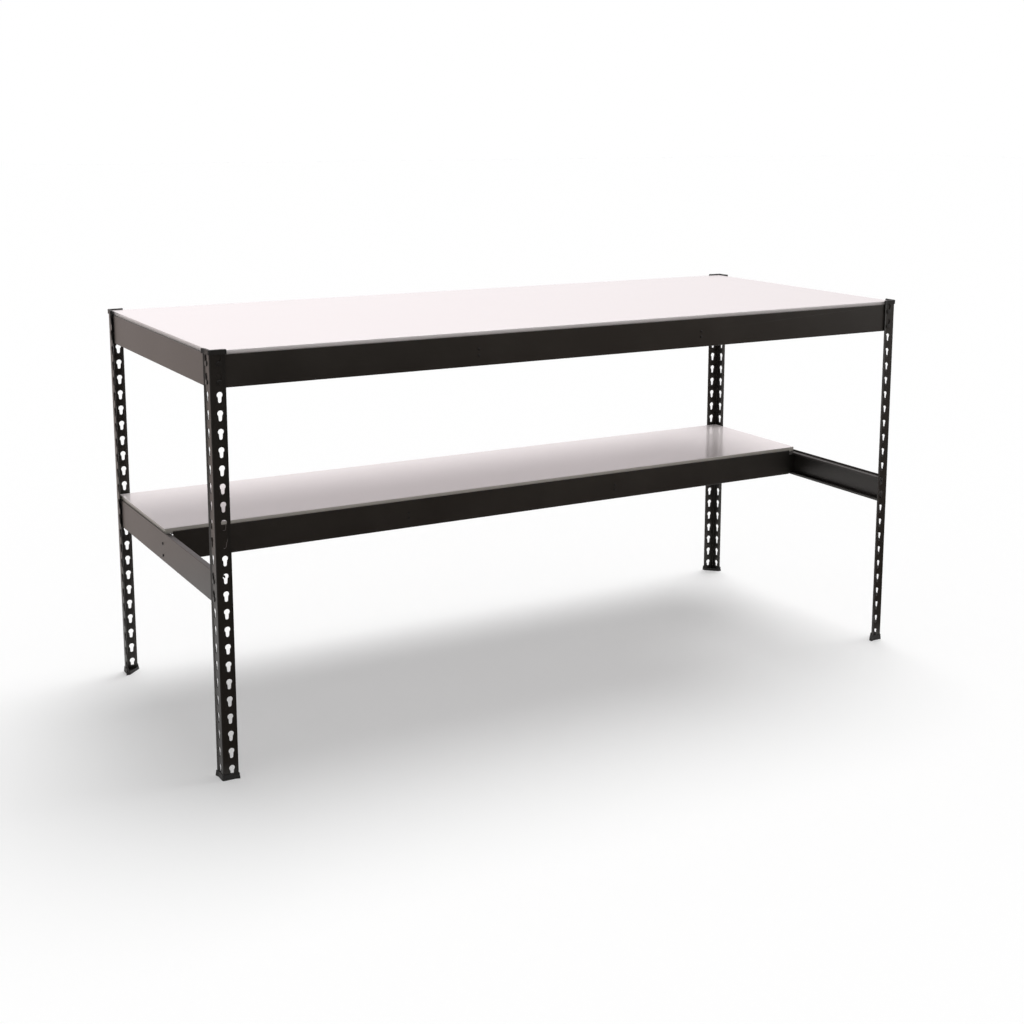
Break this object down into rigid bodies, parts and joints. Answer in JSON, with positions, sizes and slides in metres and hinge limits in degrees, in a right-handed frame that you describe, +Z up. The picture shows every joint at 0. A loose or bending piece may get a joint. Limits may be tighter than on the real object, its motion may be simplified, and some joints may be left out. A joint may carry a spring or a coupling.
{
  "type": "assembly table",
  "caption": "Boltless steel assembly table with keyholed angle posts, rolled beams, a white laminated top and a half-depth lower shelf.",
  "frame": {"origin": "middle of the footprint, on the floor under the feet", "axes": "+X along the table's length, +Y from the open front to the back where the shelf is, +Z up"},
  "size_m": [1.8396, 0.7728, 0.9184],
  "materials": {
    "frame_steel": "semi-gloss dark brown-black powder coat",
    "rivet_steel": "dark coated steel rivet",
    "screw_steel": "dark coated steel screw",
    "black_plastic": "satin moulded black plastic",
    "white_laminate": "white melamine-faced board, satin"
  },
  "bodies": {
    "root": {"front_left_post": "frame_steel", "front_left_cap": "black_plastic", "front_left_foot": "black_plastic", "front_right_post": "frame_steel", "front_right_cap": "black_plastic", "front_right_foot": "black_plastic", "back_right_post": "frame_steel", "back_right_cap": "black_plastic", "back_right_foot": "black_plastic", "back_left_post": "frame_steel", "back_left_cap": "black_plastic", "back_left_foot": "black_plastic", "top_front_beam": "frame_steel", "top_front_rivets": "rivet_steel", "top_right_beam": "frame_steel", "top_right_rivets": "rivet_steel", "top_back_beam": "frame_steel", "top_back_rivets": "rivet_steel", "top_left_beam": "frame_steel", "top_left_rivets": "rivet_steel", "lower_left_beam": "frame_steel", "lower_left_rivets": "rivet_steel", "lower_right_beam": "frame_steel", "lower_right_rivets": "rivet_steel", "lower_back_beam": "frame_steel", "lower_back_rivets": "rivet_steel", "shelf_front_beam": "frame_steel", "shelf_left_bracket": "frame_steel", "shelf_left_bracket_screws": "screw_steel", "shelf_left_bracket_nuts": "screw_steel", "top_left_tie_bar": "frame_steel", "top_left_tie_screws": "screw_steel", "shelf_left_tie_bar": "frame_steel", "shelf_left_tie_screws": "screw_steel", "shelf_right_bracket": "frame_steel", "shelf_right_bracket_screws": "screw_steel", "shelf_right_bracket_nuts": "screw_steel", "top_right_tie_bar": "frame_steel", "top_right_tie_screws": "screw_steel", "shelf_right_tie_bar": "frame_steel", "shelf_right_tie_screws": "screw_steel", "top_deck": "white_laminate", "shelf_deck": "white_laminate"}
  },
  "joints": []
}
